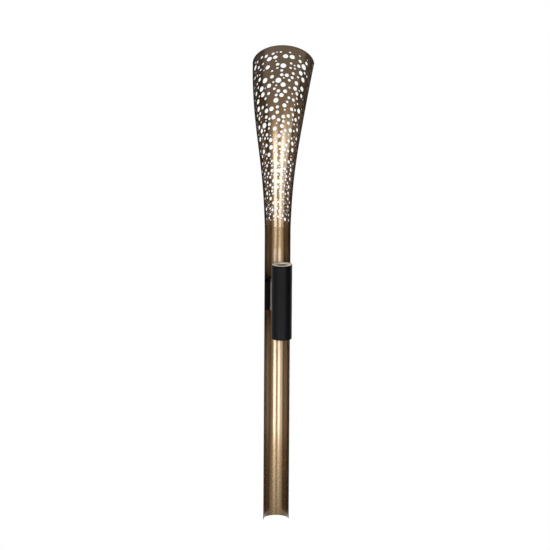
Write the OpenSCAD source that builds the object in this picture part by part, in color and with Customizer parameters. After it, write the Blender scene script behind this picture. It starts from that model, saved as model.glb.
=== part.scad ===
// Torch wall sconce: a half-round channel that widens into a perforated shade,
// washed from below and above by a leather-sleeved tube that stands off its mouth.
// X is to the right, the wall is the plane y = 0 with the room on the -Y side, and Z is up.
// The origin is on the wall, behind the middle of the light.

/* [Channel] */
// Outside radius of the half-round channel
channel_r = 32; // [28:0.5:38]
// Sheet thickness of the channel
channel_wall = 2; // [1.5:0.1:3]
// Height of the light's middle above the foot of the channel
light_h = 569; // [400:1:700]
// Height from the light's middle to the start of the shade
neck_h = 165; // [150:1:260]
// Gap between the channel's back and the wall
wall_gap = 20; // [18:0.5:40]

/* [Shade] */
// Height of the shade, up to the front corners of its rim
shade_h = 425; // [300:1:500]
// Half the width of the shade at its rim
rim_r = 75.4; // [60:0.2:85]
// Depth of the rim, from the line between its corners to its back
rim_depth = 54; // [48:0.5:74]
// How far the plane of the rim tips forward, in degrees
rim_tilt = 48; // [25:1:60]
// How far the corners of the rim nod forward of the channel's mouth
nod = 66.5; // [45:0.5:80]
// How late the nod comes in, from an even curve at 2 to a sharp one at 5
nod_power = 3.6; // [2:0.1:5]
// Sheet thickness of the shade
shade_wall = 1.8; // [1.4:0.1:2.5]

/* [Perforation] */
// Diameter of the largest holes, at the rim
hole_d = 16; // [10:0.5:18]
// Diameter of the smallest holes, at the rim
pin_d = 4.8; // [4.4:0.1:7]
// Least web between two holes, at the rim
web = 2.6; // [2:0.1:4]
// Plain band below the rim
rim_band = 15; // [8:0.5:30]
// Plain band along each side, at the rim
edge_band = 21; // [8:0.5:30]
// Height of a hole over its width
hole_stretch = 1.17; // [1:0.01:1.3]
// Plain height between the channel and the first holes
plain_foot = 16; // [14:1:60]
// Which of the scattered patterns is punched
pattern_pick = 11; // [1:1:500]

/* [Light tube] */
// Outside diameter of the leather sleeve
sleeve_d = 50.8; // [44:0.2:60]
// Thickness of the leather
leather = 1.6; // [1.2:0.1:2.2]
// Length of the tube over both bezels
tube_l = 186; // [166:1:260]
// Wall of the metal tube
tube_wall = 1.8; // [1.5:0.1:2.5]
// Gap between the channel's mouth and the sleeve
tube_gap = 35.2; // [22:0.2:45]
// Diameter of the clear opening in each bezel
bezel_opening = 30; // [26:0.5:38]

/* [Saddle and box] */
// Width of the saddle that carries the tube
saddle_w = 27; // [22:0.5:34]
// Height of the box in the channel, and of the saddle
box_h = 72; // [62:1:80]
// Wall of the box
box_wall = 2.2; // [1.8:0.1:3]
// Thickness of the box's lid
lid_t = 2.5; // [2:0.1:4]
// Diameter of the cable holes
cable_hole_d = 12; // [9:0.5:12]

/* [Wall fixing] */
// Width of the wall plate
plate_w = 30; // [26:0.5:32]
// Height of the wall plate
plate_h = 150; // [140:1:200]
// Thickness of the wall plate
plate_t = 5; // [4.6:0.1:6]
// Distance between the two wall screws
wall_screw_pitch = 124; // [118:1:130]
// Diameter of the wall screw holes
wall_screw_d = 5.5; // [4:0.5:6.5]
// Height of the cradle that hooks over the wall plate
cradle_h = 90; // [76:1:100]
// Width of the cradle
cradle_w = 38; // [37:0.5:44]

/* [Hidden] */
$fn = 72;

// clearances
touch = 0.05; // between faces that rest on each other
slide_fit = 0.15; // between parts that are slid together
eps = 1; // overrun of a cut

// places
mouth_y = -(wall_gap + channel_r);
foot_z = -light_h;
channel_l = light_h + neck_h;
tube_r = sleeve_d / 2;
tube_y = mouth_y - tube_gap - tube_r;
bore_r = channel_r - channel_wall;

// A half disc of radius r whose flat side faces the room, extruded to the height h
module half_round(r, h) {
    linear_extrude(height = h, center = true) intersection() {
        circle(r);
        translate([-r - eps, 0]) square([2 * (r + eps), r + eps]);
    }
}

// Places a shape so that its own +Z points to the room, at height z and depth y
module to_room(x, y, z) {
    translate([x, y, z]) rotate([90, 0, 0]) children();
}

// A cylinder along Y, from depth y_back to depth y_front
module along_y(x, z, r, y_back, y_front) {
    to_room(x, y_back, z) cylinder(r = r, h = y_back - y_front);
}

// ---- channel ----

screw_z = box_h / 2 - 7; // the two screws that hold box and channel to the cradle
screw_r = 2.5;
cable_z = -8;
cable_r = cable_hole_d / 2;

module channel() {
    color("#8a6b45") difference() {
        translate([0, mouth_y, foot_z]) rotate_extrude(angle = 180)
            translate([bore_r, 0]) square([channel_wall, channel_l]);
        for (z = [-screw_z, screw_z])
            along_y(0, z, screw_r, -wall_gap + eps, -wall_gap - channel_wall - eps);
        along_y(0, cable_z, cable_r, -wall_gap + eps, -wall_gap - channel_wall - eps);
    }
}

// ---- shade ----
// Half-elliptical sections, round at the foot and shallower at the rim. Their front corners
// nod forward and their planes tip over. Width and height follow one Bezier curve each.
late_depth = 1.5; // how late the sections turn shallow, as a power of the height
late_tilt = 2.3; // how late their planes tip over

function bezier(a, b, c, d, s) =
    a * pow(1 - s, 3) + 3 * b * s * pow(1 - s, 2) + 3 * c * s * s * (1 - s) + d * pow(s, 3);
function share(s) = bezier(0, 0.43, 0.52, 1, s);
function half_width(s) = channel_r + (rim_r - channel_r) * bezier(0, 0.11, 0.61, 1, s);
function section_depth(s) = half_width(s) * (1 - (1 - rim_depth / rim_r) * pow(share(s), late_depth));
function lean(s) = nod * pow(share(s), nod_power);
function tilt(s) = rim_tilt * pow(share(s), late_tilt);
// The point at station s (0 foot, 1 rim) and angle a (0 left edge, 180 right edge)
function shade_point(s, a, inset) =
    let (back = (section_depth(s) - inset) * sin(a))
    [-(half_width(s) - inset) * cos(a),
     mouth_y - lean(s) + back * cos(tilt(s)),
     neck_h + shade_h * share(s) + back * sin(tilt(s))];

// The pattern is laid out flat, at the width it has at the rim. It narrows with the way round
// the section on its way down to the neck, and its height shrinks as much.
function way_round(s) = PI * sqrt((pow(half_width(s), 2) + pow(section_depth(s), 2)) / 2);
function squeeze(s) = hole_stretch * way_round(s) / way_round(1);
spine_steps = 60; // chords up the middle of the back, for its length
pattern_w = way_round(1);
border_step = 20; // spacing of the points on the sheet's edges
section_n = 14; // facets round the foot and the rim
reach = 46; // no hole has a neighbour further away than this

// Scattered circles, as [x, y, r]. Each try is a pseudo-random point with a size of its own. It
// takes the largest circle up to that size with a web to its neighbours, and is kept if that
// is at least the least radius.
modulus = 2147483647;
function next(seed) = (16807 * seed) % modulus;
function room(p, holes, most, low, high) =
    min([most, p.x - edge_band, pattern_w - edge_band - p.x, p.y - low, high - p.y,
         for (h = holes) norm([p.x - h.x, p.y - h.y]) - h.z - web]);
function scatter(holes, tries, seed, least, most, low, high) =
    tries == 0 ? holes :
    let (a = next(seed), b = next(a), c = next(b),
         p = [pattern_w * a / modulus, low + (high - low) * b / modulus],
         r = room(p, holes, least + (most - least) * c / modulus, low, high))
    scatter(r < least ? holes : concat(holes, [[p.x, p.y, r]]),
            tries - 1, c, least, most, low, high);
function punched(low, high) =
    let (big = hole_d / 2, small = pin_d / 2,
         step = (big - small) / 4,
         a = scatter([], 60, pattern_pick, big - step, big, low, high),
         b = scatter(a, 240, pattern_pick + 1, big - 2 * step, big - step, low, high),
         c = scatter(b, 600, pattern_pick + 2, big - 3 * step, big - 2 * step, low, high))
    scatter(c, 1100, pattern_pick + 3, small, big - 3 * step, low, high);

// Is q outside the circle that meets the circles a, b and c squarely (a, b, c anticlockwise)?
function outside(a, b, c, q) =
    let (ax = a.x - q.x, ay = a.y - q.y, bx = b.x - q.x, by = b.y - q.y,
         cx = c.x - q.x, cy = c.y - q.y,
         az = ax * ax + ay * ay - a.z * a.z + q.z * q.z,
         bz = bx * bx + by * by - b.z * b.z + q.z * q.z,
         cz = cx * cx + cy * cy - c.z * c.z + q.z * q.z)
    az * (bx * cy - by * cx) + bz * (cx * ay - cy * ax) + cz * (ax * by - ay * bx) < 0;
function all_outside(a, b, c, sites, others, n) =
    n < 0 ? true :
    !outside(a, b, c, sites[others[n]]) ? false : all_outside(a, b, c, sites, others, n - 1);
function close_to(p, sites, i) =
    [for (j = [0:len(sites) - 1])
        if (j != i && abs(sites[j].x - p.x) < reach && abs(sites[j].y - p.y) < reach) j];
// Threes of neighbouring holes, with no other hole between them
function trios(sites) =
    [for (i = [0:len(sites) - 1])
        let (p = sites[i], near = close_to(p, sites, i))
        for (j = near) if (j > i)
        let (q = sites[j] - p)
        for (k = near)
        if (k > i && k != j && q.x * (sites[k].y - p.y) - q.y * (sites[k].x - p.x) > 1)
        let (others = [for (l = near) if (l != j && l != k) l])
        if (all_outside(p, sites[j], sites[k], sites, others, len(others) - 1))
        [p, sites[j], sites[k]]];

// The point on the rim of hole a that faces hole b
function facing(a, b) =
    let (d = [b.x - a.x, b.y - a.y]) [a.x, a.y] + d * a.z / norm(d);
// The web between three holes: two points on each hole's rim
function web_outline(t) =
    [facing(t[0], t[1]), facing(t[1], t[0]), facing(t[1], t[2]),
     facing(t[2], t[1]), facing(t[2], t[0]), facing(t[0], t[2])];

function back_point(s) = shade_point(s, 90, 0);

module shade() {
    rise = [for (i = 0, l = 0; i <= spine_steps; i = i + 1,
        l = l + norm(back_point(i / spine_steps) - back_point((i - 1) / spine_steps))
                / squeeze(i / spine_steps)) [l, i / spine_steps]];
    pattern_h = rise[spine_steps][0];
    low = plain_foot / squeeze(0);
    rows = round(pattern_h / border_step);
    border = [
        for (i = [0:section_n]) [pattern_w * i / section_n, 0, 0],
        for (i = [1:rows - 1]) [pattern_w, pattern_h * i / rows, 0],
        for (i = [section_n:-1:0]) [pattern_w * i / section_n, pattern_h, 0],
        for (i = [rows - 1:-1:1]) [0, pattern_h * i / rows, 0]];
    mid_foot = [for (i = [0.5:section_n]) [pattern_w * i / section_n, low / 2, 0]];
    webs = trios(concat(border, mid_foot, punched(low, pattern_h - rim_band)));

    // flat triangles of the sheet, and the chords that its walls stand on
    flat = [for (t = webs) let (o = web_outline(t)) each [
        [o[0], o[2], o[4]],
        if (t[1].z > 0) [o[0], o[1], o[2]],
        if (t[2].z > 0) [o[2], o[3], o[4]],
        if (t[0].z > 0) [o[4], o[5], o[0]]]];
    chords = [
        for (t = webs) let (o = web_outline(t)) each [
            if (t[0].z > 0) [o[5], o[0]],
            if (t[1].z > 0) [o[1], o[2]],
            if (t[2].z > 0) [o[3], o[4]]],
        for (i = [0:len(border) - 1])
            let (a = border[i], b = border[(i + 1) % len(border)]) [[a.x, a.y], [b.x, b.y]]];

    function rolled(p, depth) =
        shade_point(lookup(p.y, rise), 180 * p.x / pattern_w, depth);
    triangles = [
        for (t = flat) each [
            [rolled(t[0], 0), rolled(t[2], 0), rolled(t[1], 0)],
            [rolled(t[0], shade_wall), rolled(t[1], shade_wall), rolled(t[2], shade_wall)]],
        for (c = chords) each [
            [rolled(c[0], 0), rolled(c[1], 0), rolled(c[1], shade_wall)],
            [rolled(c[0], 0), rolled(c[1], shade_wall), rolled(c[0], shade_wall)]]];
    color("#7a5d3b") polyhedron(
        [for (t = triangles) each t],
        [for (i = [0:len(triangles) - 1]) [3 * i, 3 * i + 1, 3 * i + 2]],
        convexity = 8);
}

// ---- wall fixing ----

module wall_plate() {
    color("silver") difference() {
        translate([-plate_w / 2, -plate_t, -plate_h / 2]) cube([plate_w, plate_t, plate_h]);
        for (z = [-1, 1])
            along_y(0, z * wall_screw_pitch / 2, wall_screw_d / 2, eps, -plate_t - eps);
        along_y(0, cable_z, cable_r, eps, -plate_t - eps);
    }
}

cradle_back = -0.6; // the cradle just clears the wall
grub_r = 1.5;
grub_y = -plate_t / 2 - 0.4;
grub_z = cradle_h / 3;

// Slides down over the wall plate, and holds the round back of the channel
module cradle() {
    pocket_w = plate_w + 2 * slide_fit;
    color("dimgray") difference() {
        translate([-cradle_w / 2, mouth_y + touch, -cradle_h / 2])
            cube([cradle_w, cradle_back - mouth_y - touch, cradle_h]);
        translate([0, mouth_y, 0]) cylinder(r = channel_r, h = cradle_h + 2 * eps, center = true);
        translate([-pocket_w / 2, -plate_t - slide_fit, -cradle_h / 2 - eps])
            cube([pocket_w, plate_t + slide_fit + eps, cradle_h + 2 * eps]);
        for (z = [-screw_z, screw_z]) along_y(0, z, screw_r, 0, -wall_gap - eps);
        along_y(0, cable_z, cable_r, 0, -wall_gap - eps);
        for (z = [-grub_z, grub_z]) translate([0, grub_y, z])
            rotate([0, 90, 0]) cylinder(r = grub_r, h = cradle_w + 2 * eps, center = true);
    }
}

module cradle_grub_screws() {
    socket_r = 0.75;
    for (side = [-1, 1], z = [-grub_z, grub_z])
        color("#303030") translate([side * plate_w / 2, grub_y, z]) rotate([0, side * 90, 0])
            difference() {
                cylinder(r = grub_r, h = (cradle_w - plate_w) / 2);
                translate([0, 0, (cradle_w - plate_w) / 2 - 1.5]) cylinder(r = socket_r, h = 3, $fn = 6);
            }
}

screw_head_r = 4.3;
screw_head_t = 2.6;
box_back = mouth_y + bore_r - slide_fit; // the box's back, against the channel's bore
box_floor = box_back - box_wall;
// The depth at which a flat disc of radius r seats on the curved floor of the box
function seat_in_box(r) = mouth_y + sqrt(pow(box_floor - mouth_y, 2) - r * r) - touch;

// From inside the box, through the channel, into the cradle
module channel_screws() {
    socket_r = 1.5;
    seat = seat_in_box(screw_head_r);
    for (z = [-screw_z, screw_z]) color("silver") difference() {
        union() {
            along_y(0, z, screw_head_r, seat, seat - screw_head_t);
            along_y(0, z, screw_r, -plate_t - 1, seat - 0.1);
        }
        along_y(0, z, socket_r, seat - screw_head_t / 2, seat - screw_head_t - eps);
    }
}

spacer_r = 6;
pad_t = 2.5;
upper_spacer_z = neck_h - 34;
lower_spacer_z = foot_z + 60;

// A post brazed to the back of the channel
module spacer(z) {
    color("#8a6b45") difference() {
        along_y(0, z, spacer_r, -pad_t, -wall_gap - channel_wall / 2);
        translate([0, mouth_y, z]) cylinder(r = channel_r, h = 4 * spacer_r, center = true);
    }
}
// The rubber pad between the post and the wall
module spacer_pad(z) {
    color("#202020") along_y(0, z, spacer_r, 0, -pad_t);
}
module upper_spacer() { spacer(upper_spacer_z); }
module lower_spacer() { spacer(lower_spacer_z); }
module upper_spacer_pad() { spacer_pad(upper_spacer_z); }
module lower_spacer_pad() { spacer_pad(lower_spacer_z); }

// ---- box ----

box_r = bore_r - slide_fit;
lid_back = mouth_y + lid_t;
lead_r = 2;
lead_hole_r = 2.6;
lead_z = 0;
grommet_t = 2;
saddle_screw_z = box_h / 2 - 13;
saddle_screw_r = 2;
// The lid's screws: two through ears above the box, two into bosses in its lower corners
ear_x = 16.5;
ear_h = 9;
ear_w = 8;
ear_depth = 8;
ear_screw_r = 1.5;
lid_screw_places = [for (x = [-ear_x, ear_x], z = [6 - box_h / 2, (box_h + ear_h) / 2]) [x, z]];

module lid_ears(depth_back, depth_front) {
    for (x = [-ear_x, ear_x]) translate([x - ear_w / 2, depth_front, box_h / 2 - touch])
        cube([ear_w, depth_back - depth_front, ear_h + touch]);
}

module lid_bosses() {
    for (x = [-ear_x, ear_x]) translate([x - ear_w / 2, lid_back + touch, (box_wall - box_h) / 2])
        cube([ear_w, ear_depth - touch, ear_h]);
}

module box_body() {
    color("#1c1a18") difference() {
        union() {
            difference() {
                intersection() {
                    translate([0, mouth_y, 0]) half_round(box_r, box_h);
                    translate([-box_r, lid_back + touch, -box_h / 2]) cube([2 * box_r, box_r, box_h]);
                }
                intersection() {
                    translate([0, mouth_y, 0]) half_round(box_r - box_wall, box_h - 2 * box_wall);
                    translate([-box_r, mouth_y, -box_h / 2]) cube([2 * box_r, box_r, box_h]);
                }
            }
            lid_ears(lid_back + ear_depth, lid_back + touch);
            lid_bosses();
        }
        for (z = [-screw_z, screw_z]) along_y(0, z, screw_r + 0.1, box_back + eps, box_floor - eps);
        along_y(0, cable_z, cable_r + grommet_t, box_back + eps, box_floor - eps);
        for (p = lid_screw_places) along_y(p.x, p.y, ear_screw_r, lid_back + 6, lid_back - eps);
    }
}

module box_lid() {
    color("#17120c") difference() {
        union() {
            translate([-box_r + 0.2, mouth_y, -box_h / 2]) cube([2 * box_r - 0.4, lid_t, box_h]);
            lid_ears(lid_back, mouth_y);
        }
        along_y(0, lead_z, lead_hole_r, lid_back + eps, mouth_y - eps);
        for (z = [-saddle_screw_z, saddle_screw_z])
            along_y(0, z, saddle_screw_r, lid_back + eps, mouth_y - eps);
        for (p = lid_screw_places) along_y(p.x, p.y, ear_screw_r, lid_back + eps, mouth_y - eps);
    }
}

module lid_screws() {
    head_r = 2.5;
    head_t = 2;
    for (p = lid_screw_places) color("#a07c3c") difference() {
        union() {
            along_y(p.x, p.y, head_r, mouth_y - touch, mouth_y - touch - head_t);
            along_y(p.x, p.y, ear_screw_r, lid_back + 5.5, mouth_y - touch - 0.1);
        }
        translate([p.x, mouth_y - touch - head_t, p.y]) cube([2 * head_r + eps, 1.6, 0.7], center = true);
    }
}

// Lines the hole in the box's back, with its lip inside
module box_grommet() {
    lip = 1.6;
    seat = seat_in_box(cable_r + grommet_t + lip);
    color("#202020") difference() {
        union() {
            along_y(0, cable_z, cable_r + grommet_t - touch, box_back - 0.6, seat - lip);
            along_y(0, cable_z, cable_r + grommet_t + lip, seat, seat - lip);
        }
        along_y(0, cable_z, cable_r, box_back + eps, seat - lip - eps);
    }
}

driver_size = [28, 11, 30];
terminal_size = [20, 10, 14];
parts_gap = 1.3; // from the box's inner ends to what stands in it
inner_end = box_h / 2 - box_wall;
driver_z = inner_end - parts_gap - driver_size.z / 2;
terminal_z = -inner_end + parts_gap + terminal_size.z / 2;
inner_front = lid_back + 3.5; // room for the saddle screws' heads

module led_driver() {
    color("whitesmoke") translate([-driver_size.x / 2, inner_front, driver_z - driver_size.z / 2])
        cube(driver_size);
}

module terminal_block() {
    ways = 3;
    pitch = terminal_size.x / ways;
    color("ivory") difference() {
        translate([-terminal_size.x / 2, inner_front, terminal_z - terminal_size.z / 2])
            cube(terminal_size);
        for (i = [0:ways - 1])
            along_y(pitch * (i + 0.5) - terminal_size.x / 2, terminal_z, pitch / 3,
                inner_front + terminal_size.y / 2, inner_front - eps);
    }
}

// ---- saddle ----

module saddle() {
    color("#8f8475") difference() {
        translate([-saddle_w / 2, tube_y, -box_h / 2])
            cube([saddle_w, mouth_y - touch - tube_y, box_h]);
        translate([0, tube_y, 0]) cylinder(r = tube_r + touch, h = box_h + 2 * eps, center = true);
        along_y(0, lead_z, lead_hole_r, mouth_y + eps, tube_y);
        for (z = [-saddle_screw_z, saddle_screw_z])
            along_y(0, z, saddle_screw_r, mouth_y + eps, tube_y);
    }
}

nut_t = 5;
inner_r = tube_r - leather - tube_wall;
seat_y = tube_y + inner_r; // the tube's bore, at its back

module saddle_screws() {
    head_r = 3.5;
    head_t = 2.6;
    for (z = [-saddle_screw_z, saddle_screw_z]) color("silver") difference() {
        union() {
            along_y(0, z, head_r, lid_back + touch + head_t, lid_back + touch);
            along_y(0, z, saddle_screw_r, lid_back + touch + 0.1, seat_y - nut_t);
        }
        along_y(0, z, 1.25, lid_back + head_t + eps, lid_back + 1.2);
    }
}

// Backs the wall of the tube inside, and takes the saddle's screws
module nut_plate() {
    nut_w = 16;
    nut_h = 2 * saddle_screw_z + 12;
    color("gray") difference() {
        intersection() {
            translate([0, tube_y, 0]) cylinder(r = inner_r - touch, h = nut_h, center = true);
            translate([-nut_w / 2, seat_y - nut_t, -nut_h / 2]) cube([nut_w, nut_t, nut_h]);
        }
        along_y(0, lead_z, lead_hole_r, seat_y + eps, seat_y - nut_t - eps);
        for (z = [-saddle_screw_z, saddle_screw_z])
            along_y(0, z, saddle_screw_r, seat_y + eps, seat_y - nut_t - eps);
    }
}

// ---- light tube ----

flange_t = 2;
tube_outer_r = tube_r - leather;
half_tube = tube_l / 2 - flange_t; // the metal tube ends under the bezels' flanges

module ring(outer, inner, h, z) {
    translate([0, tube_y, z]) difference() {
        cylinder(r = outer, h = h, center = true);
        cylinder(r = inner, h = h + 2 * eps, center = true);
    }
}

module tube_holes() {
    for (z = [-saddle_screw_z, saddle_screw_z])
        along_y(0, z, saddle_screw_r, tube_y + tube_r + eps, tube_y + inner_r - eps);
    along_y(0, lead_z, lead_hole_r, tube_y + tube_r + eps, tube_y + inner_r - eps);
}

module light_tube() {
    color("#b5aea4") difference() {
        ring(tube_outer_r, inner_r, 2 * half_tube, 0);
        tube_holes();
    }
}

// Glued round the tube, level with the bezels' faces
module leather_sleeve() {
    color("#242323") difference() {
        ring(tube_r, tube_outer_r + touch, tube_l, 0);
        tube_holes();
    }
}

lens_t = 2;
lens_r = bezel_opening / 2 + 1.6;
spigot_t = 1.2;
spigot_l = 8;
bezel_r = tube_outer_r - touch;

// What is made for the top end, and mirrored for the bottom end
module bezel() {
    spigot_r = inner_r - touch;
    color("#b8ab9b") translate([0, tube_y, half_tube]) rotate_extrude() polygon([
        [bezel_opening / 2, flange_t],
        [bezel_r - 0.8, flange_t],
        [bezel_r, flange_t - 0.8],
        [bezel_r, touch],
        [spigot_r, touch],
        [spigot_r, -spigot_l],
        [spigot_r - spigot_t, -spigot_l],
        [spigot_r - spigot_t, touch],
        [bezel_opening / 2, touch]]);
}

module lens() {
    color("#e6dcc8") translate([0, tube_y, half_tube - lens_t]) cylinder(r = lens_r, h = lens_t - touch);
}

reflector_h = 24;
led_r = 12;
led_t = 1.6;
chip_r = 7;
chip_t = 1;
reflector_top = half_tube - lens_t - touch;
led_z = reflector_top - reflector_h;

module reflector() {
    wall = 1;
    neck_r = chip_r + 1.2;
    mouth_r = lens_r - 0.2;
    side_n = 6; // flat steps of the reflector's bowl
    bowl = [for (i = [0:side_n]) let (f = i / side_n)
        [neck_r + (mouth_r - wall - neck_r) * sin(90 * f), f * reflector_h]];
    color("whitesmoke") translate([0, tube_y, led_z]) rotate_extrude()
        polygon(concat(bowl, [for (i = [side_n:-1:0]) bowl[i] + [wall, 0]]));
}

module led() {
    color("#f2e6b0") translate([0, tube_y, led_z]) {
        translate([0, 0, -led_t - touch]) cylinder(r = led_r, h = led_t);
        translate([0, 0, -touch - 0.1]) cylinder(r = chip_r, h = chip_t);
    }
}

sink_top = led_z - led_t - 2 * touch;
sink_bottom = box_h / 2 - 2;
module heat_sink() {
    fin_n = 10;
    core_r = 9;
    plate_top_t = 4;
    h = sink_top - sink_bottom;
    color("gainsboro") translate([0, tube_y, sink_bottom]) difference() {
        cylinder(r = inner_r - touch, h = h);
        for (i = [0:fin_n - 1]) rotate([0, 0, 360 * (i + 0.5) / fin_n])
            translate([core_r, -2, -eps]) cube([inner_r, 4, h - plate_top_t + eps]);
        translate([0, 0, -eps]) cylinder(r = lead_hole_r, h = h + 2 * eps);
    }
}

module top_bezel() { bezel(); }
module bottom_bezel() { mirror([0, 0, 1]) bezel(); }
module top_lens() { lens(); }
module bottom_lens() { mirror([0, 0, 1]) lens(); }
module top_reflector() { reflector(); }
module bottom_reflector() { mirror([0, 0, 1]) reflector(); }
module top_led() { led(); }
module bottom_led() { mirror([0, 0, 1]) led(); }
module top_heat_sink() { heat_sink(); }
module bottom_heat_sink() { mirror([0, 0, 1]) heat_sink(); }

// From the driver, through lid, saddle and tube, to the middle of the tube
module feed_lead() {
    color("#303030") along_y(0, lead_z, lead_r, inner_front - touch, tube_y + lead_r + touch);
}

// Up and down inside the heat sinks, to both boards
module led_leads() {
    color("#b03030") translate([0, tube_y, 0]) cylinder(r = lead_r, h = 2 * (sink_top - touch), center = true);
}

channel();
shade();
wall_plate();
cradle();
cradle_grub_screws();
channel_screws();
upper_spacer();
lower_spacer();
upper_spacer_pad();
lower_spacer_pad();
box_body();
box_lid();
lid_screws();
box_grommet();
terminal_block();
led_driver();
saddle();
saddle_screws();
nut_plate();
light_tube();
leather_sleeve();
top_bezel();
bottom_bezel();
top_lens();
bottom_lens();
top_reflector();
bottom_reflector();
top_led();
bottom_led();
top_heat_sink();
bottom_heat_sink();
feed_lead();
led_leads();
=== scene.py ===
import math

import bmesh
import bpy
import numpy as np
from mathutils import Matrix, Vector
from mathutils.geometry import delaunay_2d_cdt


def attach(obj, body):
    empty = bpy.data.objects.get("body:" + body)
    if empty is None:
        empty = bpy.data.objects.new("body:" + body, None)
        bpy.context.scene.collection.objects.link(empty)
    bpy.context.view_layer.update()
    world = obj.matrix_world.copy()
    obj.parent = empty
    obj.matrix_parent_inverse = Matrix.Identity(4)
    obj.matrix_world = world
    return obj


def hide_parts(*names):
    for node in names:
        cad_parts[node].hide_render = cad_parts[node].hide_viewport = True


# Torch wall sconce: brushed bronze channel and perforated shade, washed by a leather-sleeved
# light. Wall at y = 0, room on the -Y side, +Z up. A piece's own sizes are in millimetres and
# become metres in its surface. Materials, lamps and the camera are in metres.

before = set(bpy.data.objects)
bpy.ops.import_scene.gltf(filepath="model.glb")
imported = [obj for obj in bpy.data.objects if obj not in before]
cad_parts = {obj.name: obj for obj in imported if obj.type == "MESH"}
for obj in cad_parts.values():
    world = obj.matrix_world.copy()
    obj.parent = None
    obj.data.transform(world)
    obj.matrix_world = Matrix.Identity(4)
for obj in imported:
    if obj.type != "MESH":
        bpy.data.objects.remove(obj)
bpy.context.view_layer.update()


metre = 1000  # in millimetres
print("frame loaded:", len(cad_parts), "nodes")

# Small helpers


def toLinear(hexColour):  # sRGB hex to linear RGBA
    parts = np.array([int(hexColour[i:i + 2], 16) for i in (1, 3, 5)]) / 255
    linear = np.where(parts <= 0.04045, parts / 12.92, ((parts + 0.055) / 1.055) ** 2.4)
    return (*linear.tolist(), 1.0)


def addNode(tree, kind, inputs=None, **settings):  # one node with its settings and its links
    node = tree.nodes.new(kind)
    for name, value in settings.items():
        setattr(node, name, value)
    for socket, value in (inputs or {}).items():
        if isinstance(value, bpy.types.NodeSocket):
            tree.links.new(value, node.inputs[socket])
        else:
            node.inputs[socket].default_value = value
    return node


def newTree(name):  # an empty material and its tree
    material = bpy.data.materials.new(name)
    material.use_nodes = True
    material.node_tree.nodes.clear()
    return material, material.node_tree


def makeMesh(name, points, faces, uv=None, cut=None, sharpAngle=35):
    # points as an (n, 3) array, faces as lists of indices, uv as one (u, v) for each point
    mesh = bpy.data.meshes.new(name)
    mesh.from_pydata(np.asarray(points).tolist(), [], [list(f) for f in faces])
    mesh.polygons.foreach_set("use_smooth", np.ones(len(mesh.polygons), bool))
    if uv is not None:
        corners = np.empty(len(mesh.loops), int)
        mesh.loops.foreach_get("vertex_index", corners)
        layer = mesh.uv_layers.new(name="flat")
        layer.data.foreach_set("uv", np.asarray(uv)[corners].astype(np.float32).ravel())
    if cut is not None:  # faces of the cut edges take the second material
        mesh.polygons.foreach_set("material_index", cut.astype(int))
    mesh.validate()
    mesh.update()
    mesh.set_sharp_from_angle(angle=math.radians(sharpAngle))
    return mesh


def addPiece(mesh, materials, slotName, *nodes):
    # shows the mesh under its own name, in place of the CAD nodes that it stands for
    piece = bpy.data.objects.new(mesh.name, mesh)
    bpy.context.scene.collection.objects.link(piece)
    indices = np.empty(len(mesh.polygons), int)
    mesh.polygons.foreach_get("material_index", indices)
    mesh.materials.clear()
    for material in materials:
        mesh.materials.append(material)
    mesh.polygons.foreach_set("material_index", indices)
    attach(piece, "root")
    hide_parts(*nodes)
    return piece


def gridFaces(rows, columns, closeRows=False, closeColumns=False):
    # quads of a rows x columns grid of points, row by row
    row, column = np.meshgrid(np.arange(rows if closeRows else rows - 1),
                              np.arange(columns if closeColumns else columns - 1), indexing="ij")
    start, above = row * columns, (row + 1) % rows * columns
    beside = (column + 1) % columns
    return np.stack([start + column, start + beside, above + beside, above + column],
                    -1).reshape(-1, 4)


def outward(points, faces):  # turns the quads of a closed shape round where they look inward
    a, b, c, d = (points[faces[:, i]] for i in range(4))
    volume = np.einsum("ij,ij->", a, np.cross(b, c)) + np.einsum("ij,ij->", a, np.cross(c, d))
    return faces if volume > 0 else faces[:, ::-1]


# Bronze: the marks are about 0.2 mm apart on a real sheet, and drawn coarser so that they show

bronze = dict(
    light="#654b25", dark="#4d3718", cutEdge="#21170e", streak=0.0012, streakLength=0.125,
    streakShare=0.25, patch=0.0625, roughness=(0.25, 0.33), bump=0.02, bumpDepth=0.0002,
    lacquer=1.0, lacquerRoughness=0.17, lacquerIor=1.55,
)


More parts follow.
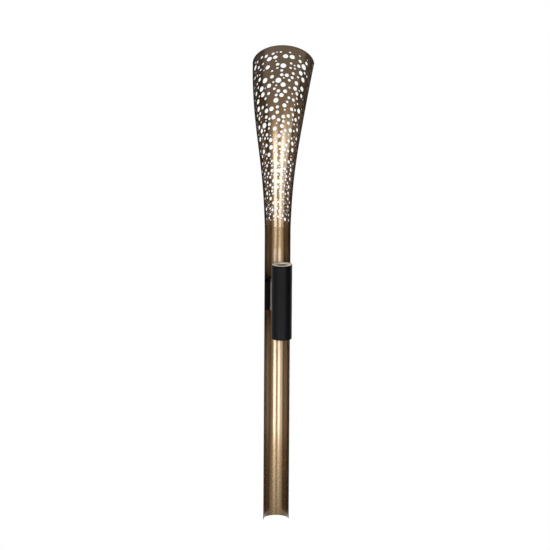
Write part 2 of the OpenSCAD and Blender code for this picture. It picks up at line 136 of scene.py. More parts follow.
def brushedBronze(name, usesFlat):
    # Bronze sheet, brushed along its length, patinated and lacquered: dark brown metal with
    # long fine streaks, whose lacquer gives a softer, whiter sheen over the metal's own.
    # On a piece with a flat pattern the streaks follow its UV map, and elsewhere they follow z
    material, tree = newTree(name)
    place = addNode(tree, "ShaderNodeTexCoord").outputs["UV" if usesFlat else "Object"]
    fine, long = 1 / bronze["streak"], 1 / bronze["streakLength"]
    drawn = addNode(tree, "ShaderNodeMapping", {
        "Vector": place, "Scale": (fine, long if usesFlat else fine, long)})
    marks = addNode(tree, "ShaderNodeTexNoise", {
        "Vector": drawn.outputs[0], "Scale": 1.0, "Detail": 3.0, "Roughness": 0.6})
    patina = addNode(tree, "ShaderNodeTexNoise", {
        "Vector": place, "Scale": 1 / bronze["patch"], "Detail": 3.0})
    patched, streaked = (
        addNode(tree, "ShaderNodeMix", {
            "Factor": noise.outputs["Fac"], "A": toLinear(bronze["dark"]),
            "B": toLinear(bronze["light"])}, data_type="RGBA") for noise in (patina, marks))
    tone = addNode(tree, "ShaderNodeMix", {
        "Factor": bronze["streakShare"], "A": patched.outputs["Result"],
        "B": streaked.outputs["Result"]}, data_type="RGBA")
    low, high = bronze["roughness"]
    rough = addNode(tree, "ShaderNodeMapRange", {
        "Value": marks.outputs["Fac"], "To Min": low, "To Max": high})
    bump = addNode(tree, "ShaderNodeBump", {
        "Height": marks.outputs["Fac"], "Strength": bronze["bump"],
        "Distance": bronze["bumpDepth"]})
    shader = addNode(tree, "ShaderNodeBsdfPrincipled", {
        "Base Color": tone.outputs["Result"], "Metallic": 1.0, "Roughness": rough.outputs[0],
        "Normal": bump.outputs[0], "Coat Weight": bronze["lacquer"],
        "Coat Roughness": bronze["lacquerRoughness"], "Coat IOR": bronze["lacquerIor"]})
    addNode(tree, "ShaderNodeOutputMaterial", {"Surface": shader.outputs[0]})
    return material


# Other finishes: one even colour with a surface grain of 0.6 mm specks, coarser than real grain
# so that it shows close up

speckled = dict(speck=0.0006, depth=0.00003, bump=0.5, dim=0.8, roughnessSpread=0.06)


def plainFinish(name, colour, roughness, metallic=0.0, specular=0.5):
    # the grain shows in bump, in roughness and in colour, which is a little dimmer in its hollows
    material, tree = newTree(name)
    place = addNode(tree, "ShaderNodeTexCoord").outputs["Object"]
    grain = addNode(tree, "ShaderNodeTexNoise", {
        "Vector": place, "Scale": 1 / speckled["speck"], "Detail": 2.0}).outputs["Fac"]
    full = toLinear(colour)
    dim = tuple(speckled["dim"] * v for v in full[:3]) + (1.0,)
    tone = addNode(tree, "ShaderNodeMix", {"Factor": grain, "A": dim, "B": full}, data_type="RGBA")
    rough = addNode(tree, "ShaderNodeMapRange", {
        "Value": grain, "To Min": roughness - speckled["roughnessSpread"],
        "To Max": roughness + speckled["roughnessSpread"]})
    bump = addNode(tree, "ShaderNodeBump", {
        "Height": grain, "Strength": speckled["bump"], "Distance": speckled["depth"]})
    shader = addNode(tree, "ShaderNodeBsdfPrincipled", {
        "Base Color": tone.outputs["Result"], "Metallic": metallic, "Roughness": rough.outputs[0],
        "Specular IOR Level": specular, "Normal": bump.outputs[0]})
    addNode(tree, "ShaderNodeOutputMaterial", {"Surface": shader.outputs[0]})
    return material


bronzeChannel = brushedBronze("brushed bronze, channel", False)
bronzeShade = brushedBronze("brushed bronze, shade", True)

# sheared and drilled edges under patina: dull, and darker than the face
bronzeCut = plainFinish("blackened cut bronze edge", bronze["cutEdge"], 0.7, specular=0.1)
# baked powder: black, with hardly a highlight
powderBlack = plainFinish("black powder coat", "#120d08", 0.55, specular=0.15)
# sprayed paint: even, with a soft shine
powderBeige = plainFinish("warm grey paint", "#877a6c", 0.5)
# electroplated: bright grey metal with a satin shine, a little glossier on turned screws
zincPlated = plainFinish("zinc-plated steel", "#b9b9b4", 0.35, metallic=1.0)
screwSteel = plainFinish("zinc-plated screw steel", "#a9a9a6", 0.3, metallic=1.0)
# turned: small points of yellow light
screwBrass = plainFinish("turned brass", "#8a6a38", 0.3, metallic=1.0)
# moulded and unpolished: matt black
rubberBlack = plainFinish("moulded rubber", "#1a1a1a", 0.8)
# moulded against an etched tool: near black, without a highlight
boxBlack = plainFinish("moulded black polyamide", "#0c0703", 0.6, specular=0.05)
# moulded: off-white with a satin shine
plasticWhite = plainFinish("moulded white polycarbonate", "#e4e2dc", 0.45)
# blasted with glass beads: pale, and evenly lit from every side
nickelWarm = plainFinish("bead-blasted warm nickel", "#f2e6d6", 0.6, metallic=1.0)
# as cast: grey metal with a blurred shine
aluminiumCast = plainFinish("cast aluminium", "#b4b4b2", 0.5, metallic=1.0)
# moulded against a polished tool: bright white
reflectorWhite = plainFinish("white reflector polycarbonate", "#e8e6e0", 0.4)
# printed lacquer: cream, with a satin shine
ledBoard = plainFinish("LED board solder mask", "#e9e4d2", 0.4)
# extruded: dark grey and smooth
jacketGrey = plainFinish("PVC lead jacket", "#3a3a3a", 0.5)
print("materials made")

# Perforated shade: half widths at its foot and rim, and curves of four control values each,
# from foot to rim, for how fast it rises and widens

shade = dict(
    footHalf=32, rimHalf=75.4, height=425, neckHeight=165, mouth=-52, wall=1.8,
    riseCurve=(0, 0.43, 0.52, 1), widthCurve=(0, 0.11, 0.61, 1), nod=66.5, nodPower=3.6,
    rimDepth=54, depthPower=1.5, rimTilt=48, tiltPower=2.3,
    bigHole=16, smallHole=4.8, web=2.6, rimBand=15, edgeBand=21, plainFoot=16,
    stretch=1.17, tries=(60, 240, 600, 1100), holePoints=24, spacing=4.5, stations=61,
    pick=11,  # start of the draw: another number gives another scatter
)


def cubicCurve(controls, s):
    # from the first value to the last as s goes from 0 to 1, drawn towards the two between
    a, b, c, d = controls
    return a * (1 - s) ** 3 + 3 * b * s * (1 - s) ** 2 + 3 * c * s * s * (1 - s) + d * s ** 3


def shadeSection(s):
    # at station s: share of the height, half width and depth of the half ellipse
    h = cubicCurve(shade["riseCurve"], s)
    widening = shade["rimHalf"] - shade["footHalf"]
    width = shade["footHalf"] + widening * cubicCurve(shade["widthCurve"], s)
    flattening = 1 - shade["rimDepth"] / shade["rimHalf"]
    return h, width, width * (1 - flattening * h ** shade["depthPower"])


def shadeSurface(s, angle, inset):
    # half ellipses, round at the foot and shallower at the rim, whose mouth leans forward and
    # whose plane tips over: x = -width cos(angle), back = depth sin(angle)
    h, width, depth = shadeSection(s)
    lean = shade["nod"] * h ** shade["nodPower"]
    tilt = math.radians(shade["rimTilt"]) * h ** shade["tiltPower"]
    back = (depth - inset) * np.sin(angle)
    x = -(width - inset) * np.cos(angle)
    y = shade["mouth"] - lean + back * np.cos(tilt)
    z = shade["neckHeight"] + shade["height"] * h + back * np.sin(tilt)
    return np.stack([x, y, z], -1) / metre


def scatterHoles(width, low, high):
    # circles (x, y, radius) in four size classes, largest first: each try has a place and a most
    # of its own, drawn by a multiply-and-remainder rule, and keeps the web to its neighbours
    holes = np.empty((0, 3))
    big, small = shade["bigHole"] / 2, shade["smallHole"] / 2
    step = (big - small) / 4
    sizes = (big, big - step, big - 2 * step, big - 3 * step, small)
    edge, factor, modulus = shade["edgeBand"], 16807, 2147483647
    for turn, tries in enumerate(shade["tries"]):
        most, least = sizes[turn], sizes[turn + 1]
        seed = shade["pick"] + turn
        for _ in range(tries):
            first = factor * seed % modulus
            second = factor * first % modulus
            seed = factor * second % modulus
            x, y = width * first / modulus, low + (high - low) * second / modulus
            room = min(least + (most - least) * seed / modulus,
                       x - edge, width - edge - x, y - low, high - y)
            if len(holes):
                gaps = np.hypot(holes[:, 0] - x, holes[:, 1] - y) - holes[:, 2]
                room = min(room, np.min(gaps) - shade["web"])
            if room >= least:
                holes = np.vstack([holes, [x, y, room]])
    return holes


def toCentres(points, holes):  # distance from each point to the centre of each hole
    return np.hypot(points[:, None, 0] - holes[None, :, 0], points[:, None, 1] - holes[None, :, 1])


def punchedSheet(width, height, holes, stepX, stepY, holePoints):
    # flat sheet with round holes: rim points of every hole, edge points and a staggered grid
    # between them, joined into the roundest triangles they give; returns points and triangles
    turn = np.linspace(0, 2 * np.pi, holePoints, endpoint=False)
    circle = np.stack([np.cos(turn), np.sin(turn)], -1)
    rings = holes[:, None, :2] + holes[:, None, 2:] * circle[None]
    columns, rows = round(width / stepX), round(height / stepY)
    across, up = np.linspace(0, width, columns + 1), np.linspace(0, height, rows + 1)
    edge = np.concatenate([
        np.stack([across[:-1], np.zeros(columns)], -1),
        np.stack([np.full(rows, width), up[:-1]], -1),
        np.stack([across[:0:-1], np.full(columns, height)], -1),
        np.stack([np.zeros(rows), up[:0:-1]], -1)])
    quarter = 0.25 * stepX  # shift of a row to either side, and the grid's least gap to a hole
    gridX, gridY = np.meshgrid(across[1:-1], up[1:-1])
    gridX = gridX + quarter * np.where(np.arange(rows - 1) % 2, 1, -1)[:, None]
    inner = np.stack([gridX.ravel(), gridY.ravel()], -1)
    inner = inner[(toCentres(inner, holes) - holes[None, :, 2]).min(1) > quarter]
    points = np.concatenate([edge, rings.reshape(-1, 2), inner])
    starts = range(len(edge), len(edge) + len(holes) * holePoints, holePoints)
    loops = [list(range(len(edge)))] + [list(range(i, i + holePoints)) for i in starts]
    sides = [(a, b) for loop in loops for a, b in zip(loop, loop[1:] + loop[:1])]
    found = delaunay_2d_cdt([Vector(p) for p in points.tolist()], sides, [], 0, 1e-6)
    flat = np.array([tuple(v) for v in found[0]])
    triangles = np.array([f for f in found[2] if len(f) == 3])
    hollow = holes[:, 2] * math.cos(math.pi / holePoints) * 0.999  # just inside the flats
    inside = (toCentres(flat[triangles].mean(1), holes) < hollow[None]).any(1)
    return flat, triangles[~inside]


def rollSheet(flat, triangles, surface):
    # carries the flat sheet onto surface(x, y, inner) at both faces, and walls its open edges
    outer = surface(flat[:, 0], flat[:, 1], False)
    inner = surface(flat[:, 0], flat[:, 1], True)
    total = len(flat)
    sides = np.concatenate([triangles[:, [0, 1]], triangles[:, [1, 2]], triangles[:, [2, 0]]])
    key = np.sort(sides, 1) @ np.array([total, 1])
    _, first, count = np.unique(key, return_index=True, return_counts=True)
    rim = sides[first[count == 1]]  # sides that only one triangle has
    walls = np.stack([rim[:, 1], rim[:, 0], rim[:, 0] + total, rim[:, 1] + total], -1)
    faces = [*triangles.tolist(), *(triangles[:, ::-1] + total).tolist(), *walls.tolist()]
    uv = np.concatenate([flat, flat]) / metre
    cut = np.concatenate([np.zeros(2 * len(triangles)), np.ones(len(walls))])
    return np.concatenate([outer, inner]), faces, uv, cut


stations = np.linspace(0, 1, shade["stations"])
_, widths, depths = shadeSection(stations)
developed = np.pi * np.sqrt((widths ** 2 + depths ** 2) / 2)  # round the half ellipse
patternWidth = developed[-1]
squeeze = shade["stretch"] * developed / patternWidth  # of the pattern, at each station
spine = shadeSurface(stations, 0 * stations + np.pi / 2, 0) * metre
along = np.linalg.norm(np.diff(spine, axis=0), axis=1)
rise = np.concatenate([[0], np.cumsum(along / squeeze[1:])])
holes = scatterHoles(patternWidth, shade["plainFoot"] / squeeze[0], rise[-1] - shade["rimBand"])
flat, triangles = punchedSheet(patternWidth, rise[-1], holes, shade["spacing"],
                               shade["spacing"], shade["holePoints"])


def onShade(x, y, inner):  # half an ellipse across the pattern, stations up it
    inset = shade["wall"] if inner else 0
    return shadeSurface(np.interp(y, rise, stations), np.pi * x / patternWidth, inset)


points, faces, uv, cut = rollSheet(flat, triangles[:, ::-1], onShade)
addPiece(makeMesh("perforated_shade", points, faces, uv, cut),
         [bronzeShade, bronzeCut], "bronze_shade", "shade")
print("shade:", len(holes), "holes,", len(faces), "faces")

# Channel: heights from the light's middle, with a screw hole that far above and below it

channel = dict(
    radius=shade["footHalf"], top=shade["neckHeight"], mouth=shade["mouth"], wall=2, foot=-569,
    screws=24, screwHole=2.5, cable=-8, cableHole=6, stepAcross=1.8, stepUp=9.0, holePoints=32,
)
channelWidth = math.pi * channel["radius"]
channelHoles = np.array([[channelWidth / 2, z - channel["foot"], radius] for z, radius in (
    (channel["screws"], channel["screwHole"]), (-channel["screws"], channel["screwHole"]),
    (channel["cable"], channel["cableHole"]))])
flat, triangles = punchedSheet(
    channelWidth, channel["top"] - channel["foot"], channelHoles,
    channel["stepAcross"], channel["stepUp"], channel["holePoints"])


def onChannel(x, y, inner):  # half a cylinder across the flat sheet, open to the room
    r = channel["radius"] - (channel["wall"] if inner else 0)
    angle = x / channel["radius"]
    return np.stack([-r * np.cos(angle), channel["mouth"] + r * np.sin(angle),
                     y + channel["foot"]], -1) / metre


points, faces, uv, cut = rollSheet(flat, triangles[:, ::-1], onChannel)
addPiece(makeMesh("half_round_channel", points, faces, uv, cut),
         [bronzeChannel, bronzeCut], "bronze", "channel")
print("channel:", len(faces), "faces")

# Light tube: its sleeve, with a hem near each end and a seam at the back

tube = dict(y=-112.6, clearance=0.05, turnedPoints=144)
sleeve = dict(
    radius=25.4, leather=1.6, length=186, softEdge=0.6, hem=2.2, hemWidth=0.55, groove=0.45,
    seam=0.5, seamWidth=1.1, swell=0.05, swells=3, swellTwist=0.09,
    fineBand=6, fineRows=28, rows=90, points=288, sharpAngle=60,
)


def onAxis(radius, angle, height):  # round the tube's axis, which stands in front of the channel
    points = np.stack([radius * np.cos(angle), tube["y"] + radius * np.sin(angle),
                       height + 0 * angle], -1)
    return points.reshape(-1, 3) / metre


def sleeveSurface():
    # a shell whose outside dips by the groove under each hem, and along the seam at the back,
    # and swells and sinks a little where the hide is thicker or thinner
    half, r = sleeve["length"] / 2, sleeve["radius"]
    band, edge = half - sleeve["fineBand"], half - sleeve["softEdge"]
    z = np.concatenate([np.linspace(-edge, -band, sleeve["fineRows"]),
                        np.linspace(-band, band, sleeve["rows"])[1:-1],
                        np.linspace(band, edge, sleeve["fineRows"])])[:, None]
    angle = np.linspace(0, 2 * np.pi, sleeve["points"], endpoint=False)[None]
    fromHem = half - np.abs(z) - sleeve["hem"]
    fromSeam = (angle - np.pi / 2) * r
    depth = sleeve["groove"] * np.exp(-(fromHem / sleeve["hemWidth"]) ** 2)
    depth = depth + sleeve["seam"] * np.exp(-(fromSeam / sleeve["seamWidth"]) ** 2)
    wave = 1 + np.sin(sleeve["swells"] * angle + sleeve["swellTwist"] * z)
    depth = depth + sleeve["swell"] * wave * np.cos(np.pi * z / sleeve["length"])
    inner, rim = r - sleeve["leather"] + tube["clearance"], r - sleeve["softEdge"]
    ends = np.array([[inner], [rim]]) + 0 * angle
    radius = np.concatenate([ends, r - depth, ends[::-1]])
    height = np.concatenate([[[-half], [-half]], z, [[half], [half]]])
    points = onAxis(radius, angle + 0 * height, height)
    return points, outward(points, gridFaces(len(height), sleeve["points"], True, True))


# grain cells of 1.1 mm, as on a thick hide, and blotches of 20 mm
hide = dict(
    light="#0a0707", dark="#050303", crease="#030303", cell=0.0011, creaseWidth=0.16, blotch=0.02,
    roughness=(0.34, 0.44), bump=0.35, bumpDepth=0.00012, specular=0.06,
    fibres=0.45, fibreRoughness=0.16, fibreColour="#e3cdbc",
)


def sleeveLeather():
    # Black full-grain hide: small raised cells between fine creases, a soft waxed surface that
    # stays dark face on, and loose fibres that catch light at the edges of the tube
    material, tree = newTree("black hide leather")
    place = addNode(tree, "ShaderNodeTexCoord").outputs["Object"]
    cells = addNode(tree, "ShaderNodeTexVoronoi", {
        "Vector": place, "Scale": 1 / hide["cell"]}, feature="DISTANCE_TO_EDGE")
    raised = addNode(tree, "ShaderNodeMapRange", {
        "Value": cells.outputs["Distance"], "From Max": hide["creaseWidth"]})
    broad = addNode(tree, "ShaderNodeTexNoise", {
        "Vector": place, "Scale": 1 / hide["blotch"], "Detail": 4.0})
    tone = addNode(tree, "ShaderNodeMix", {
        "Factor": broad.outputs["Fac"], "A": toLinear(hide["dark"]),
        "B": toLinear(hide["light"])}, data_type="RGBA")
    creased = addNode(tree, "ShaderNodeMix", {
        "Factor": raised.outputs[0], "A": toLinear(hide["crease"]),
        "B": tone.outputs["Result"]}, data_type="RGBA")
    low, high = hide["roughness"]
    rough = addNode(tree, "ShaderNodeMapRange", {
        "Value": broad.outputs["Fac"], "To Min": low, "To Max": high})
    bump = addNode(tree, "ShaderNodeBump", {
        "Height": raised.outputs[0], "Strength": hide["bump"], "Distance": hide["bumpDepth"]})
    shader = addNode(tree, "ShaderNodeBsdfPrincipled", {
        "Base Color": creased.outputs["Result"], "Roughness": rough.outputs[0],
        "Normal": bump.outputs[0], "Specular IOR Level": hide["specular"],
        "Sheen Weight": hide["fibres"], "Sheen Roughness": hide["fibreRoughness"],
        "Sheen Tint": toLinear(hide["fibreColour"])})
    addNode(tree, "ShaderNodeOutputMaterial", {"Surface": shader.outputs[0]})
    return material


points, faces = sleeveSurface()
addPiece(makeMesh("stitched_sleeve", points, faces.tolist(), sharpAngle=sleeve["sharpAngle"]),
         [sleeveLeather()], "leather", "leather_sleeve")

# Bezels and lenses, each the same at both ends of the tube. Their heights start at the end of
# the metal tube, a flange's thickness inside the sleeve's end

bezel = dict(
    opening=15, outer=23.75, flange=2, chamfer=0.8, corner=0.3,
    spigot=21.95, spigotWall=1.2, spigotLength=8,
)
lens = dict(
    radius=16.6, thickness=2, edge=0.2, hub=0.02, dish=0.5, dishRadius=11.7,
    # the first colour below is painted shade for the lens's middle, where the optic behind would
    # show through the frosting; the last pair gives the radii over which it fades into the rim
    # colour
    rings=(4, 8, 10.5, 11.5, 12.2, 13), opticShade="#857b72", rim="#b9ac9c", opticShadeEdge=(11.2, 12.2),
    roughness=(0.4, 0.55), grain=0.0005, bump=0.3, bumpDepth=0.00003,
)
tubeEnd = sleeve["length"] / 2 - bezel["flange"]


def rounded(corners, radius):
    # an outline with each corner rounded by a short quadratic curve, in steps, which takes at
    # most a share of the sides it joins
    steps, share = 4, 0.45
    corners = np.asarray(corners, float)
    result = []
    for i, corner in enumerate(corners):
        before, after = corners[i - 1] - corner, corners[(i + 1) % len(corners)] - corner
        longBefore, longAfter = np.linalg.norm(before), np.linalg.norm(after)
        reach = min(radius, share * longBefore, share * longAfter)
        start, end = corner + before / longBefore * reach, corner + after / longAfter * reach
        t = np.linspace(0, 1, steps + 1)[:, None]
        result += list((1 - t) ** 2 * start + 2 * t * (1 - t) * corner + t ** 2 * end)
    return np.array(result)


def bezelOutline():  # a flange on the tube's end and a spigot down into it
    seat, top, outer = tube["clearance"], bezel["flange"], bezel["outer"]
    spigotIn, foot = bezel["spigot"] - bezel["spigotWall"], -bezel["spigotLength"]
    return rounded([
        (bezel["opening"], seat), (bezel["opening"], top), (outer - bezel["chamfer"], top),
        (outer, top - bezel["chamfer"]), (outer, seat), (bezel["spigot"], seat),
        (bezel["spigot"], foot), (spigotIn, foot), (spigotIn, seat)], bezel["corner"])


def lensOutline():
    # a disc under the bezel whose top sinks to its middle by half a cosine wave
    rim, edge, seat, foot = lens["radius"], lens["edge"], -tube["clearance"], -lens["thickness"]
    across = np.array([lens["hub"], *lens["rings"], rim - edge])
    wave = 1 + np.cos(np.pi * np.clip(across / lens["dishRadius"], 0, 1))
    top = np.stack([across, seat - lens["dish"] * 0.5 * wave], -1)
    return np.concatenate([top, [
        (rim, seat - edge), (rim, foot + edge), (rim - edge, foot),
        (lens["rings"][1], foot), (lens["hub"], foot)]])


def spun(outline):  # a closed outline of (radius, height), turned round the tube's axis
    angle = np.linspace(0, 2 * np.pi, tube["turnedPoints"], endpoint=False)[None]
    points = onAxis(outline[:, :1], angle + 0 * outline[:, :1], outline[:, 1:])
    return points, outward(points, gridFaces(len(outline), tube["turnedPoints"], True, True))


def lensAcrylic():
    # Frosted acrylic over the lamp: pale, with painted shade darkening its middle for the optic
    # behind it seen through the frosting
    material, tree = newTree("frosted acrylic")
    place = addNode(tree, "ShaderNodeTexCoord").outputs["Object"]
    fromAxis = addNode(tree, "ShaderNodeVectorMath", {
        0: place, 1: (0, tube["y"] / metre, 0)}, operation="SUBTRACT")
    level = addNode(tree, "ShaderNodeVectorMath", {
        0: fromAxis.outputs[0], 1: (1, 1, 0)}, operation="MULTIPLY")
    away = addNode(tree, "ShaderNodeVectorMath", {0: level.outputs[0]}, operation="LENGTH")
    # painted shade: the lens is darker in its middle, out to these radii
    near, far = lens["opticShadeEdge"]
    shadeRing = addNode(tree, "ShaderNodeMapRange", {
        "Value": away.outputs["Value"], "From Min": near / metre, "From Max": far / metre})
    tone = addNode(tree, "ShaderNodeMix", {
        "Factor": shadeRing.outputs[0], "A": toLinear(lens["opticShade"]), "B": toLinear(lens["rim"])},
        data_type="RGBA")
    grain = addNode(tree, "ShaderNodeTexNoise", {
        "Vector": place, "Scale": 1 / lens["grain"], "Detail": 2.0}).outputs["Fac"]
    low, high = lens["roughness"]
    rough = addNode(tree, "ShaderNodeMapRange", {"Value": grain, "To Min": low, "To Max": high})
    bump = addNode(tree, "ShaderNodeBump", {
        "Height": grain, "Strength": lens["bump"], "Distance": lens["bumpDepth"]})
    shader = addNode(tree, "ShaderNodeBsdfPrincipled", {
        "Base Color": tone.outputs["Result"], "Roughness": rough.outputs[0],
        "Normal": bump.outputs[0]})
    addNode(tree, "ShaderNodeOutputMaterial", {"Surface": shader.outputs[0]})
    return material


frosted = lensAcrylic()
for end, up in (("top", 1), ("bottom", -1)):
    for name, outline, material, slotName in (
            (end + "_bezel", bezelOutline(), nickelWarm, "warm_nickel"),
            (end + "_lens", lensOutline(), frosted, "frosted_lens")):
        points, faces = spun((outline + [0, tubeEnd]) * [1, up])
        addPiece(makeMesh("turned_" + name, points, faces.tolist()), [material], slotName, name)
print("tube dressed")

# Softened copies of the pressed, cast and moulded nodes, whose edges are broken as tooling
# leaves them: slot, finish, and width of the broken edges

broken = dict(angle=30, segments=2, joined=0.000001, flat=1)  # degrees and metres
softened = {
    "box_body": ("black_plastic", boxBlack, 0.5),
    "box_lid": ("black_plastic", boxBlack, 0.4),
    "lid_screws": ("brass_screw", screwBrass, 0.25),
    "wall_plate": ("zinc_plate", zincPlated, 0.4),
    "cradle": ("black_metal", powderBlack, 0.6),
    "upper_spacer": ("bronze", bronzeChannel, 0.4),
    "lower_spacer": ("bronze", bronzeChannel, 0.4),
    "upper_spacer_pad": ("rubber", rubberBlack, 0.4),
    "lower_spacer_pad": ("rubber", rubberBlack, 0.4),
    "saddle": ("warm_nickel", powderBeige, 0.4),
}


def soften(node, slotName, material, width):
    # the node's own mesh, its triangles joined where they are flat, with a bevel on its edges
    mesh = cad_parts[node].data.copy()
    mesh.name = "soft_" + node
    mesh.materials.clear()
    work = bmesh.new()
    work.from_mesh(mesh)
    bmesh.ops.remove_doubles(work, verts=work.verts, dist=broken["joined"])
    bmesh.ops.dissolve_limit(work, angle_limit=math.radians(broken["flat"]),
                             verts=work.verts, edges=work.edges)
    work.to_mesh(mesh)
    work.free()
    mesh.polygons.foreach_set("material_index", np.zeros(len(mesh.polygons), int))
    mesh.polygons.foreach_set("use_smooth", np.ones(len(mesh.polygons), bool))
    mesh.set_sharp_from_angle(angle=math.radians(broken["angle"]))
    piece = addPiece(mesh, [material], slotName, node)
    bevel = piece.modifiers.new("broken edges", "BEVEL")
    bevel.width, bevel.segments = width / metre, broken["segments"]
    bevel.limit_method, bevel.angle_limit = "ANGLE", math.radians(broken["angle"])
    bevel.harden_normals = True
    return piece


softPieces = {node: soften(node, *values) for node, values in softened.items()}
print("softened", len(softPieces), "nodes")

# Saddle: the thin flange that shows beside the tube, one strip on each side of the block

saddle = dict(
    width=27, flangeWidth=34, flangeThickness=4, height=72, gap=0.1, overlap=1, corner=1,
)


def flangeStrip(side):
    # an outline of (x, y) drawn out along z, with its ends closed by one face each
    inner, outer = saddle["width"] / 2 - saddle["overlap"], saddle["flangeWidth"] / 2
    back = channel["mouth"] - saddle["gap"]
    front = back - saddle["flangeThickness"]
    outline = rounded([(inner, back), (outer, back), (outer, front), (inner, front)],
                      saddle["corner"]) * [side, 1]
    count = len(outline)
    heights = (-saddle["height"] / 2, saddle["height"] / 2)
    points = [np.column_stack([outline, np.full(count, z)]) for z in heights]
    ends = [list(range(count)), list(range(2 * count - 1, count - 1, -1))]
    return np.concatenate(points) / metre, gridFaces(2, count, False, True).tolist() + ends


block = softPieces["saddle"].data
work = bmesh.new()
work.from_mesh(block)
for side in (-1, 1):
    points, faces = flangeStrip(side)
    added = [work.verts.new(point) for point in points]
    for face in faces:
        work.faces.new([added[i] for i in face])
bmesh.ops.recalc_face_normals(work, faces=work.faces)
work.to_mesh(block)
work.free()
print("saddle flanged")

# Nodes that keep their CAD shape, and their finishes

finishes = {
    "cradle_grub_screws": screwSteel, "channel_screws": screwSteel, "saddle_screws": screwSteel,
    "nut_plate": zincPlated, "box_grommet": rubberBlack,
    "terminal_block": plasticWhite, "led_driver": plasticWhite,
    "light_tube": aluminiumCast, "top_heat_sink": aluminiumCast,
    "bottom_heat_sink": aluminiumCast,
    "top_reflector": reflectorWhite, "bottom_reflector": reflectorWhite,
    "top_led": ledBoard, "bottom_led": ledBoard,
    "feed_lead": jacketGrey, "led_leads": jacketGrey,
}
for node, material in finishes.items():
    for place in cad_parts[node].material_slots:
        place.material = material
print("finishes given to", len(finishes), "nodes")

# Floor, backdrop and lamps

studio = dict(
    floor=-1.9, floorSize=4.8, paint="#ececec", floorWhite=0.93, roomGlow=0.35,
    front=-0.05,  # y of the point that the lamps face
    daylight=(0.84, 0.93, 1.0),  # cool lamps, so that the bands turn cream and not gold
    boxSpread=90, paneSpread=110,
)


def whiteToTheEye(tree, plain, white, share=1.0):
    # the camera, reflections and clear pieces see the white shader, all else sees the plain one
    path = addNode(tree, "ShaderNodeLightPath")
    seen = path.outputs["Is Camera Ray"]
    for ray in ("Is Glossy Ray", "Is Transmission Ray"):
        seen = addNode(tree, "ShaderNodeMath", {0: seen, 1: path.outputs[ray]},
                       operation="MAXIMUM").outputs[0]
    seen = addNode(tree, "ShaderNodeMath", {0: seen, 1: share}, operation="MULTIPLY").outputs[0]
    return addNode(tree, "ShaderNodeMixShader", {
        "Fac": seen, 1: plain.outputs[0], 2: white.outputs[0]}).outputs[0]


bpy.ops.mesh.primitive_grid_add(x_subdivisions=2, y_subdivisions=2, size=studio["floorSize"],
                                location=(0, 0, studio["floor"]))
floor = bpy.context.object
floor.name = "studio_floor"
floorPaint, tree = newTree("matt white floor paint")
paint = addNode(tree, "ShaderNodeBsdfDiffuse", {"Color": toLinear(studio["paint"])})
glow = addNode(tree, "ShaderNodeEmission", {"Color": (1, 1, 1, 1), "Strength": 1.0})
addNode(tree, "ShaderNodeOutputMaterial", {
    "Surface": whiteToTheEye(tree, paint, glow, studio["floorWhite"])})
floor.data.materials.append(floorPaint)

world = bpy.data.worlds.new("white studio")
bpy.context.scene.world = world
world.use_nodes = True
tree = world.node_tree
tree.nodes.clear()
soft, white = (addNode(tree, "ShaderNodeBackground", {"Color": (1, 1, 1, 1), "Strength": strength})
               for strength in (studio["roomGlow"], 1.0))
addNode(tree, "ShaderNodeOutputWorld", {"Surface": whiteToTheEye(tree, soft, white)})


def facing(azimuth, distance, z):  # place on a circle round the light, and the turn to face it
    angle = math.radians(azimuth)
    away = Vector((math.sin(angle), -math.cos(angle), 0))
    place = away * distance + Vector((0, studio["front"], z))
    return place, away.to_track_quat("Z", "Y").to_euler()


def addLamp(name, size, glow, spread, place, turn):
    # a lamp of that width and height, seen by the metal but not by the camera; glow is its
    # brightness, where the backdrop has 1
    lamp = bpy.data.lights.new(name, "AREA")
    lamp.shape = "RECTANGLE"
    lamp.size, lamp.size_y = size
    lamp.energy = glow * math.pi * size[0] * size[1]
    lamp.spread = math.radians(spread)
    lamp.color = studio["daylight"]
    holder = bpy.data.objects.new(name, lamp)
    holder.location, holder.rotation_euler = place, turn
    holder.visible_camera = False
    bpy.context.scene.collection.objects.link(holder)


# Soft boxes far off give the pair of bands in the shade, and small ones close by the pairs in
# the channel: faint above the light, bright below it and faint again at its foot
boxSides = {  # between two azimuths, and share of the glow
    "right": ((0, 22), 1.1), "left": ((-39, -20), 1.0), "outer_left": ((-72, -41), 0.3),
}
boxRows = {  # distance, lowest and highest edge, glow
    "softbox": (3.0, (-0.38, 0.5), 4.1), "low_box": (0.6, (-0.55, -0.27), 4.1),
    "foot_box": (0.6, (-0.72, -0.56), 0.7), "high_box": (0.6, (-0.10, -0.01), 0.8),
}
for side, (azimuths, share) in boxSides.items():
    for row, (distance, heights, glow) in boxRows.items():
        width = math.radians(azimuths[1] - azimuths[0]) * distance
        addLamp(side + "_" + row, (width, heights[1] - heights[0]), glow * share,
                studio["boxSpread"], *facing(sum(azimuths) / 2, distance, sum(heights) / 2))

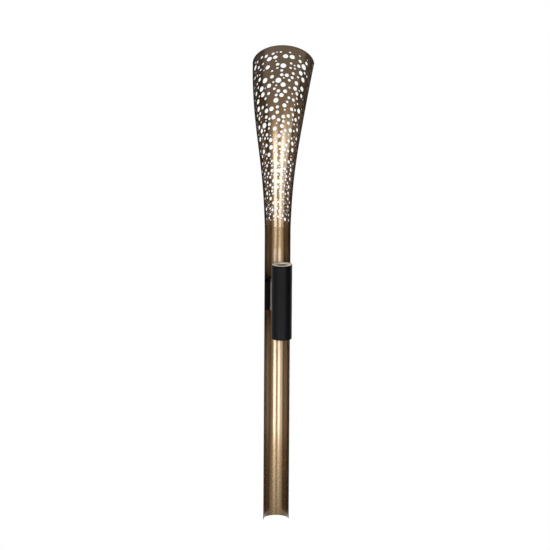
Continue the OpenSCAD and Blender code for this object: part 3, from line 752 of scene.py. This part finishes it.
# A black card at the right keeps the left side of the hollows dark
card = dict(azimuth=80, distance=3.2, width=3.9, height=2.7, paint="#0c0c0c", roughness=0.9)
bpy.ops.mesh.primitive_grid_add(x_subdivisions=2, y_subdivisions=2, size=1)
black = bpy.context.object
black.name = "black_card"
black.data.transform(Matrix.Diagonal((card["width"], card["height"], 1, 1)))
black.location, black.rotation_euler = facing(card["azimuth"], card["distance"], 0)
black.visible_camera = False
black.data.materials.append(plainFinish("black card", card["paint"], card["roughness"]))

# Small lamps beside and behind the tube, for what the tube hides from the boxes: two carry the
# bands on down to its top edge, and one lights the hollow's side above the box
panes = {  # place, size, way it shines, glow
    "right_pane": ((0.013, -0.084, 0.0785), (0.026, 0.033), (-0.013, 0.06, 0), 1.9),
    "left_pane": ((-0.021, -0.084, 0.0785), (0.024, 0.033), (0.021, 0.06, 0), 1.9),
    "side_pane": ((-0.002, -0.042, 0.062), (0.02, 0.05), (-1, 0, 0), 0.5),
}
for name, (place, size, aim, glow) in panes.items():
    turn = (-Vector(aim)).to_track_quat("Z", "Y").to_euler()
    addLamp(name, size, glow, studio["paneSpread"], place, turn)

# Camera: focal length and picture in pixels, angles in degrees; right and up move its aim
view = dict(azimuth=-10, elevation=13.7, distance=12.2, focal=4979, picture=550, roll=0.34,
            target=(0, -0.052, 0), right=-0.0060, up=0.0501, sensor=36, farthest=100)
azimuth, elevation = math.radians(view["azimuth"]), math.radians(view["elevation"])
level = math.cos(elevation)
away = Vector((math.sin(azimuth) * level, -math.cos(azimuth) * level, math.sin(elevation)))
sideways = Vector((math.cos(azimuth), math.sin(azimuth), 0))
upward = away.cross(sideways)
camera = bpy.data.cameras.new("camera")
camera.sensor_width = view["sensor"]
camera.lens = view["focal"] / view["picture"] * view["sensor"]
camera.clip_end = view["farthest"]
eye = bpy.data.objects.new("camera", camera)
bpy.context.scene.collection.objects.link(eye)
aim = Vector(view["target"]) + sideways * view["right"] + upward * view["up"]
turn = Matrix((sideways, upward, away)).transposed() @ Matrix.Rotation(
    math.radians(view["roll"]), 3, "Z")
eye.matrix_world = Matrix.Translation(aim + away * view["distance"]) @ turn.to_4x4()
bpy.context.scene.camera = eye
bpy.context.scene.view_settings.view_transform = "Standard"
print("stage, lamps and camera set")
